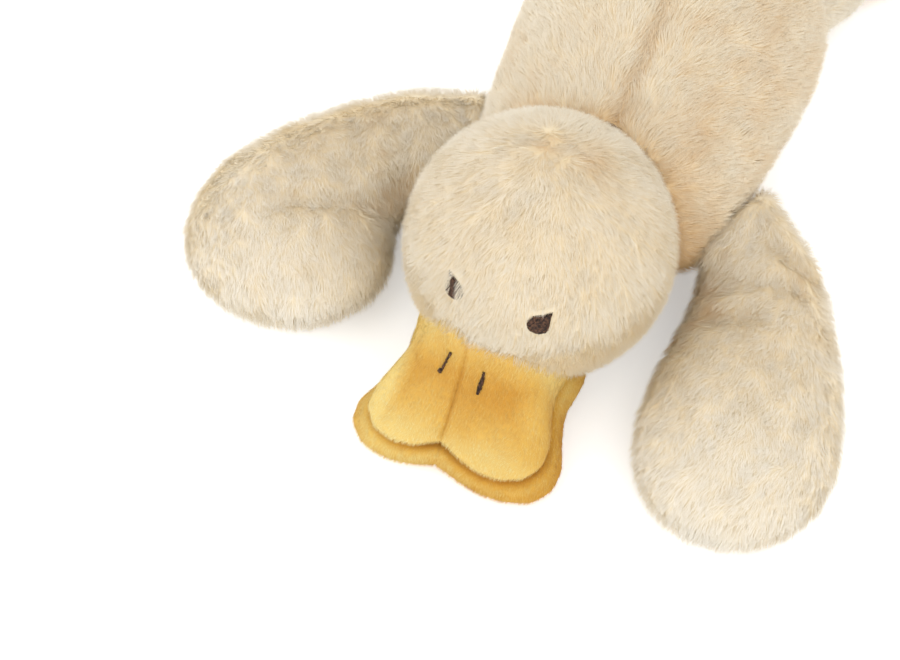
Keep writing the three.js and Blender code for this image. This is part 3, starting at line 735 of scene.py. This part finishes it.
def satin_stitch(name, outline, slant, ground, middle, facing, body, seed):
    """Fills a flat outline with parallel raised threads, laid on the cloth that ground, a BVH tree, holds."""
    dice = np.random.default_rng(seed)
    facing = Vector(facing).normalized()
    right = Vector((0, 0, 1)).cross(facing).normalized()
    up = facing.cross(right)
    along, over = math.cos(slant), math.sin(slant)
    shape = np.array(outline) @ np.array([[along, -over], [over, along]])
    form = bmesh.new()
    level = shape[:, 1].min() + stitch_spacing / 2
    while level < shape[:, 1].max():
        cuts = sorted(
            a[0] + (b[0] - a[0]) * (level - a[1]) / (b[1] - a[1])
            for a, b in zip(shape, np.roll(shape, -1, axis=0)) if (a[1] - level) * (b[1] - level) < 0
        )
        for start, end in zip(cuts[::2], cuts[1::2]):
            start -= dice.uniform(0.0, loose_ends)
            end += dice.uniform(0.0, loose_ends)
            lift = stitch_height + dice.uniform(-loose_height, loose_height)
            thread = bmesh.ops.create_uvsphere(form, u_segments=6, v_segments=9, radius=1.0)["verts"]
            for v in thread:
                part = v.co.z
                arch = math.sqrt(max(0.0, 1 - part ** 4))
                taper = (0.45 + 0.55 * arch) / max(math.hypot(v.co.x, v.co.y), 0.2)
                u = (start + end) / 2 + part * (end - start) / 2
                w = level + v.co.x * thread_radius * taper
                height = lift * arch - stitch_sink + v.co.y * thread_radius * taper
                flat = right * (u * along - w * over) + up * (u * over + w * along)
                hit = ground.ray_cast(Vector(middle) + flat + facing * 0.03, -facing)[0]
                v.co = (hit or Vector(middle) + flat) + facing * height
        level += stitch_spacing
    bmesh.ops.recalc_face_normals(form, faces=form.faces)
    mesh = bpy.data.meshes.new(name)
    form.to_mesh(mesh)
    form.free()
    smooth_shaded(mesh)
    mesh.materials.append(brown_thread)
    piece = as_object(name + "_stitches", mesh)
    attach(piece, body)
    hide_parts(name)


head_ball = bmesh.new()
bmesh.ops.create_icosphere(head_ball, subdivisions=5, radius=head_radius)
bmesh.ops.translate(head_ball, verts=head_ball.verts, vec=head_middle)
head_surface = BVHTree.FromBMesh(head_ball)
for number, (node, (turn, rise)) in enumerate(eye_ways.items()):
    flick = math.radians(flick_way if turn > 0 else 180 - flick_way)
    rim = [flick + 0.6 + (2 * math.pi - 1.2) * step / 30 for step in range(31)]
    outline = [(eye_radius * math.cos(t), eye_radius * math.sin(t)) for t in rim]
    tip_out = eye_radius + flick_length
    outline.append((tip_out * math.cos(flick), tip_out * math.sin(flick)))
    satin_stitch(
        node, outline, flick, head_surface, head_middle + way_to(turn, rise) * head_radius,
        way_to(turn, rise), "head", 71 + number,
    )

# Upper bill: two panels of short-napped yellow velour with a seam along the middle of the top panel, sewn
# round two lobes and softly stuffed. The nap is brushed forward and shows as fine streaks.
nap_length = 2.4 * mm
nap_width = 0.27 * mm
bill_waist_y, bill_waist_reach = -0.207, 17 * mm
upper_waist = (0.13, 0.06)  # how far each half is drawn in, right and left, as shares of its width
root_lift = 11 * mm
root_sink = 1.3 * mm
upper_nap = 38000
lower_nap = 29000
bill_seam_x = -0.0185
bill_seam_depth = 1.7 * mm
bill_seam_width = 0.95 * mm
nap_streaks = (5.0, 1.0, 2.0)  # the nap's streaks are narrow across the bill and long down it
yellow = ((0.78, 0.59, 0.20, 1), (0.86, 0.74, 0.34, 1), (0.90, 0.80, 0.43, 1))
deep_yellow = ((0.71, 0.48, 0.12, 1), (0.81, 0.65, 0.25, 1), (0.85, 0.72, 0.33, 1))
# The tints run from shaded, a colour of painted shade, through the plain velour to pale, a colour of painted
# light.
velour_tints = ((0.74, 0.47, 0.18, 1), (0.89, 0.72, 0.44, 1), (1.0, 1.0, 1.0, 1))
bill_velour = pile_material("bill_velour", *yellow, *velour_tints, 0.8, 0.1)
deep_velour = pile_material("deep_velour", *deep_yellow, *velour_tints, 0.8, 0.1)


def bill_seam(at):
    """The stitched crease from the face to the notch between the lobes."""
    groove = np.exp(-np.abs((at[:, 0] - bill_seam_x) / bill_seam_width) ** 1.6)
    return bill_seam_depth * groove * rising(at[:, 2], 0.018, 0.006)


def leftward(at):
    """-1 on the right half of the bill and 1 on the left half, changing over the seam."""
    return np.tanh((at[:, 0] - bill_seam_x) / (20 * mm))


def bill_shade(at):
    """Painted shade, darkest in the seam and deep in the middle of each lobe, and painted light, paler at the
    root, edges and front.
    """
    left = leftward(at)
    front, root = rising(-at[:, 1], 0.224, 0.02), rising(at[:, 1], -0.218, 0.014)
    edge = rising(np.abs(at[:, 0] - bill_seam_x), 0.025 + 0.003 * left, 0.012)
    paler = np.maximum(0.62 * front + 0.7 * root, edge * (0.7 - 0.3 * left))
    return -0.3 * bill_seam(at) / bill_seam_depth - 0.44 + paler - 0.05 * left


def drawn_to_waist(mesh, right, left):
    """Draws each half of a bill towards its seam near the face, by a share of its width."""
    at = places(mesh)
    waist = np.exp(-((at[:, 1] - bill_waist_y) / bill_waist_reach) ** 2)
    at[:, 0] -= (at[:, 0] - bill_seam_x) * waist * np.where(at[:, 0] < bill_seam_x, right, left)
    put(mesh, at)


def forward(at, out):
    return np.tile([0.0, -1.0, -0.2], (len(at), 1))


def away_from_face(root, tip):
    return from_head_middle(root) > head_radius - 0.5 * mm


def sewn_up_the_face(mesh):
    """Slides the root of the upper bill up over the ball of the head, highest at the seam."""
    at = places(mesh) - np.array(head_middle)
    gap = np.linalg.norm(at, axis=1, keepdims=True)
    peak = 0.3 + 0.7 * np.exp(-((at[:, 0] + head_middle[0] - bill_seam_x) / (17 * mm)) ** 2)
    close = np.exp(-(np.maximum(gap[:, 0] - head_radius - 1 * mm, 0) / (5 * mm)) ** 2)
    lifted = close * rising(at[:, 2], -0.03, 0.012)
    at[:, 2] += root_lift * peak * lifted
    put(mesh, unit(at) * (gap - root_sink * lifted[:, None]) + np.array(head_middle))


bill_skin = sewn_form("bill_skin", ["upper_bill_cover", "upper_bill_filling"], 1.2 * mm, 24)
press(bill_skin, bill_seam)
drawn_to_waist(bill_skin, *upper_waist)
sewn_up_the_face(bill_skin)
bill_form = bmesh.new()
bill_form.from_mesh(bill_skin)
bill_surface = BVHTree.FromBMesh(bill_form)
upper_bill = with_pile(
    bill_skin, "upper_bill", upper_nap, forward, nap_length, nap_width, keep=away_from_face,
    lie=17.0, clump=1.3 * mm, pull=0.15, stray=0.13, shade=bill_shade, grain=nap_streaks, wander=0.13,
    streaks=0.12, seed=81,
)
finish_cover(upper_bill, "head", "upper_bill_cover", bill_velour)
stuffing("upper_bill_filling", "head", 91, lambda mesh: drawn_to_waist(mesh, *upper_waist))

# Nostrils: two short bars of the same brown thread on either side of the bill's seam, near the face.
# They are satin stitched like the eyes, and differ a little in slant and outline.
nostril_length = 12 * mm
nostril_width = 2.3 * mm
nostril_facing = (0, -0.66, 0.75)
nostril_slants = {"nostril_left": 0.04, "nostril_right": 0.2}
nostril_outlines = {  # across and up, in half widths and half lengths, going round
    "nostril_left": (
        (0.5, -1), (1.2, -1), (1.9, -0.5), (2.0, 0.1), (1.6, 0.6), (1.5, 1), (0.8, 1), (0.6, 0.5),
        (0.2, -0.1), (0.3, -0.6),
    ),
    "nostril_right": (
        (-1.6, -0.95), (0.0, -1), (0.5, -0.55), (1.0, 0.0), (1.6, 0.5), (2.4, 1), (1.6, 1), (0.8, 0.5),
        (0.1, -0.1), (-0.3, -0.6), (-1.5, -0.7),
    ),
}
for number, node in enumerate(nostril_outlines):
    low_corner, high_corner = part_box(node)
    outline = [(nostril_width / 2 * x, nostril_length / 2 * y) for x, y in nostril_outlines[node]]
    satin_stitch(
        node, outline, nostril_slants[node], bill_surface, (low_corner + high_corner) / 2,
        nostril_facing, "head", 95 + number,
    )

# Lower bill: the same velour in a deeper yellow, wider than the upper bill, so that it shows as a soft rim
# round it, with its own short seam in the middle of the front.
lower_waist = (0.09, 0.0)
flare_y = -0.181
flare_out = 2.6 * mm
flare_back = 2.5 * mm
rim_groove, rim_groove_width = 3.0, 2.2  # in mm, as are the next two lines
rim_roll, rim_roll_at, rim_roll_width = 3.0, 6.5, 3.3
notch_seam, notch_seam_width = 0.9, 1.2
lower_skin = sewn_form("lower_bill_skin", ["lower_bill_cover", "lower_bill_filling"], 1.2 * mm, 30)


def from_upper_bill(at):
    """How far each place is from the upper bill's skin."""
    return np.array([bill_surface.find_nearest(Vector(place))[3] for place in at])


def rolled_rim(at):
    """A groove close to the upper bill's edge, a fat roll outside it, and the seam at the notch."""
    gap = from_upper_bill(at) / mm
    groove = rim_groove * np.exp(-(gap / rim_groove_width) ** 2)
    roll = rim_roll * np.exp(-((gap - rim_roll_at) / rim_roll_width) ** 2)
    seam = notch_seam * np.exp(-np.abs((at[:, 0] - bill_seam_x) / (notch_seam_width * mm)) ** 1.6)
    return mm * (rising(at[:, 2], 0.008, 0.004) * (groove - roll) + seam)


def rim_shade(at):
    """Painted shade, deep orange down in the groove, a painted highlight pale along the roll, painted light
    at the root, and deeper to the left.
    """
    gap = from_upper_bill(at)
    roll = np.exp(-((gap - 7.5 * mm) / (3 * mm)) ** 2)
    root = rising(at[:, 1], -0.207, 0.014)
    return -0.7 * np.exp(-(gap / (3.2 * mm)) ** 2) + 0.2 * roll + 0.35 * root - 0.05 - 0.2 * leftward(at)


def flared(mesh):
    """The rim bends outwards on the left where it goes in under the cheek."""
    at = places(mesh)
    share = np.exp(-((at[:, 1] - flare_y) / (8 * mm)) ** 2) * rising(at[:, 0], bill_seam_x, 0.04)
    at[:, 0] += flare_out * share
    at[:, 1] += flare_back * share
    put(mesh, at)


press(lower_skin, rolled_rim)
drawn_to_waist(lower_skin, *lower_waist)
flared(lower_skin)
lower_bill = with_pile(
    lower_skin, "lower_bill", lower_nap, forward, nap_length, nap_width, chance=thinner_below(0.3),
    shade=rim_shade, lie=22.0, clump=1.3 * mm, pull=0.25, stray=0.2, grain=nap_streaks, wander=0.13,
    streaks=0.12, seed=101,
)
finish_cover(lower_bill, "lower_bill", "lower_bill_cover", deep_velour)
stuffing("lower_bill_filling", "lower_bill", 111, lambda mesh: drawn_to_waist(mesh, *lower_waist))

# Wings: long soft sleeves of plush, narrow where they are sewn to the shoulders and full at their ends.
# They are loosely stuffed, so folds run across them near the shoulder where they swing forward.
wing_tufts = 55000
shoulder_x, shoulder_y = 0.0726, -0.078
wing_sides = {"wing_right": -1, "wing_left": 1}
wing_under_share = 0.65  # most of the pile, because the underside shows when the wing is raised
fold_depth = 2.6 * mm
fold_width = 8.0 * mm
# how much painted shade darkens the tint along each fold
fold_painted_shade = 0.2
# All in millimetres: where shade is painted on each wing, lines across its top, and how its paddle swells
wing_shade_spots = {"wing_right": (-108, -112), "wing_left": (60, -112)}
wing_folds = {
    "wing_right": [[(-91, -121), (-101, -139), (-121, -148), (-140, -160)]],
    "wing_left": [[(74, -116), (96, -104), (112, -100)], [(78, -132), (98, -124)], [(98, -86), (118, -92)]],
}
paddle_swells = {"wing_right": (-181, -138, 3.5, 26), "wing_left": (72, -200, -3.0, 26)}  # x, y, swell, reach


def wing_comb(side):
    over, down = np.array([0.3 - 0.35 * side, -1.0, -0.1]), np.array([0.1 * side, 0, -1.0])

    def comb(at, out):
        """Forward over the wing, slanting inward on the right one, and down at its back."""
        behind = np.clip(out[:, 1:2] * 1.6, 0, 1)
        return (1 - behind) * over + behind * down
    return comb


def wing_shade(name, side):
    shoulder = np.array([side * shoulder_x, shoulder_y])

    def shade(at):
        """Painted shade, warm towards the head that shades the wing and in a spot near the shoulder, and
        painted light, palest at the wing's end.
        """
        gap = np.maximum(from_head_middle(at) - head_radius, 0)
        end = rising(np.linalg.norm(at[:, :2] - shoulder, axis=1), 0.085, 0.045)
        shade_spot = near(at[:, :2], np.array(wing_shade_spots[name]) * mm, 24 * mm)
        return -0.85 * np.exp(-gap / (15 * mm)) - 0.14 * shade_spot + 0.17 + 0.24 * end
    return shade


def folded(name):
    """How deep the folds of a wing are drawn in, 0 to 1, around each of its fold lines."""
    def depth(at):
        gap = np.min([
            line_gap(at[:, :2], np.array(start) * mm, np.array(end) * mm)
            for line in wing_folds[name] for start, end in zip(line, line[1:])
        ], axis=0)
        return np.exp(-(gap / fold_width) ** 2) * rising(at[:, 2], 0.02, 0.01)
    return depth


for number, (name, side) in enumerate(wing_sides.items()):
    wing_skin = sewn_form(name + "_skin", [name + "_cover", name + "_filling"], 2.4 * mm, 4)
    fold, wing_painted_light = folded(name), wing_shade(name, side)

    def shaped(at):
        """The folds, and how the outline of the stuffed paddle swells or falls short of an even one."""
        spot_x, spot_y, swell, reach = (mm * value for value in paddle_swells[name])
        return fold_depth * fold(at) - swell * near(at[:, :2], (spot_x, spot_y), reach)

    press(wing_skin, shaped)
    # The pile's tint takes painted shade in the folds and towards the head, and painted light at the wing's
    # end.
    wing = with_pile(
        wing_skin, name, wing_tufts, wing_comb(side), pile_length, 0.32 * mm,
        chance=thinner_below(wing_under_share), shade=lambda at: -fold_painted_shade * fold(at) + wing_painted_light(at),
        parting_shade=0.26, seed=121 + 20 * number,
    )
    finish_cover(wing, name, name + "_cover", cream_pile)
    stuffing(
        name + "_filling", name, 131 + number,
        lambda mesh: press(mesh, lambda at: np.maximum(shaped(at), 0)),
    )

# Legs: short sleeves of plush, splayed out behind, with a seam at the hip and another at the foot.
# They are softly stuffed, and their pile lies back and down towards the feet.
leg_tufts = 11000


def backward(at, out):
    """Back along the leg, outward with its splay, and downward."""
    return np.stack([0.35 * np.sign(at[:, 0]), np.ones(len(at)), np.full(len(at), -0.45)], 1)


for number, name in enumerate(("leg_right", "leg_left")):
    leg_skin = sewn_form(name + "_skin", [name + "_cover", name + "_filling"], 2.0 * mm, 3)
    leg = with_pile(
        leg_skin, name, leg_tufts, backward, 0.85 * pile_length, 0.4 * mm,
        chance=thinner_below(0.3), seed=161 + number,
    )
    finish_cover(leg, name, name + "_cover", cream_pile)
    stuffing(name + "_filling", name, 171 + number)

# Feet: flat webbed pads of the deeper yellow velour, thinly stuffed, with a scalloped edge of three toes.
# The nap is brushed back towards the toes.
foot_nap = 11000
for number, name in enumerate(("foot_right", "foot_left")):
    foot_skin = sewn_form(name + "_skin", [name + "_cover", name + "_filling"], 1.4 * mm, 2)
    foot = with_pile(
        foot_skin, name, foot_nap, backward, nap_length, 0.4 * mm, chance=thinner_below(0.3),
        lie=22.0, clump=1.5 * mm, pull=0.25, stray=0.2, seed=181 + number,
    )
    finish_cover(foot, name, name + "_cover", deep_velour)
    stuffing(name + "_filling", name, 191 + number)

# Tail: a short flat tuft of plush that stands up from the rump, held by its stiff seam. Its pile is longest
# at the tip, where it stands out like a brush.
tail_tufts = 9000
tail_seam_place = np.array([0, 0.087, 0.066])
tail_way = np.array([0.0, 0.848, 0.53])


def on_the_tail(at):
    """Where each place lies from the tail's seam, and how near it is to the tip, 0 to 1."""
    place = at - tail_seam_place
    return place, rising(place @ tail_way, 0.022, 0.016)


def up_the_tail(at, out):
    """Along the tail, and closing to a point at the tip."""
    place, tip = on_the_tail(at)
    inward = np.outer(place @ tail_way, tail_way) - place
    return tail_way + inward * (tip / 0.012)[:, None]


def tail_length(at):
    """Up to twice as long at the tip."""
    return pile_length * (0.85 + 0.9 * on_the_tail(at)[1])


tail_skin = sewn_form("tail_skin", ["tail_cover", "tail_filling"], 1.8 * mm, 3)
tail = with_pile(tail_skin, "tail", tail_tufts, up_the_tail, tail_length, 0.4 * mm, seed=201)
finish_cover(tail, "tail", "tail_cover", cream_pile)
stuffing("tail_filling", "tail", 211)
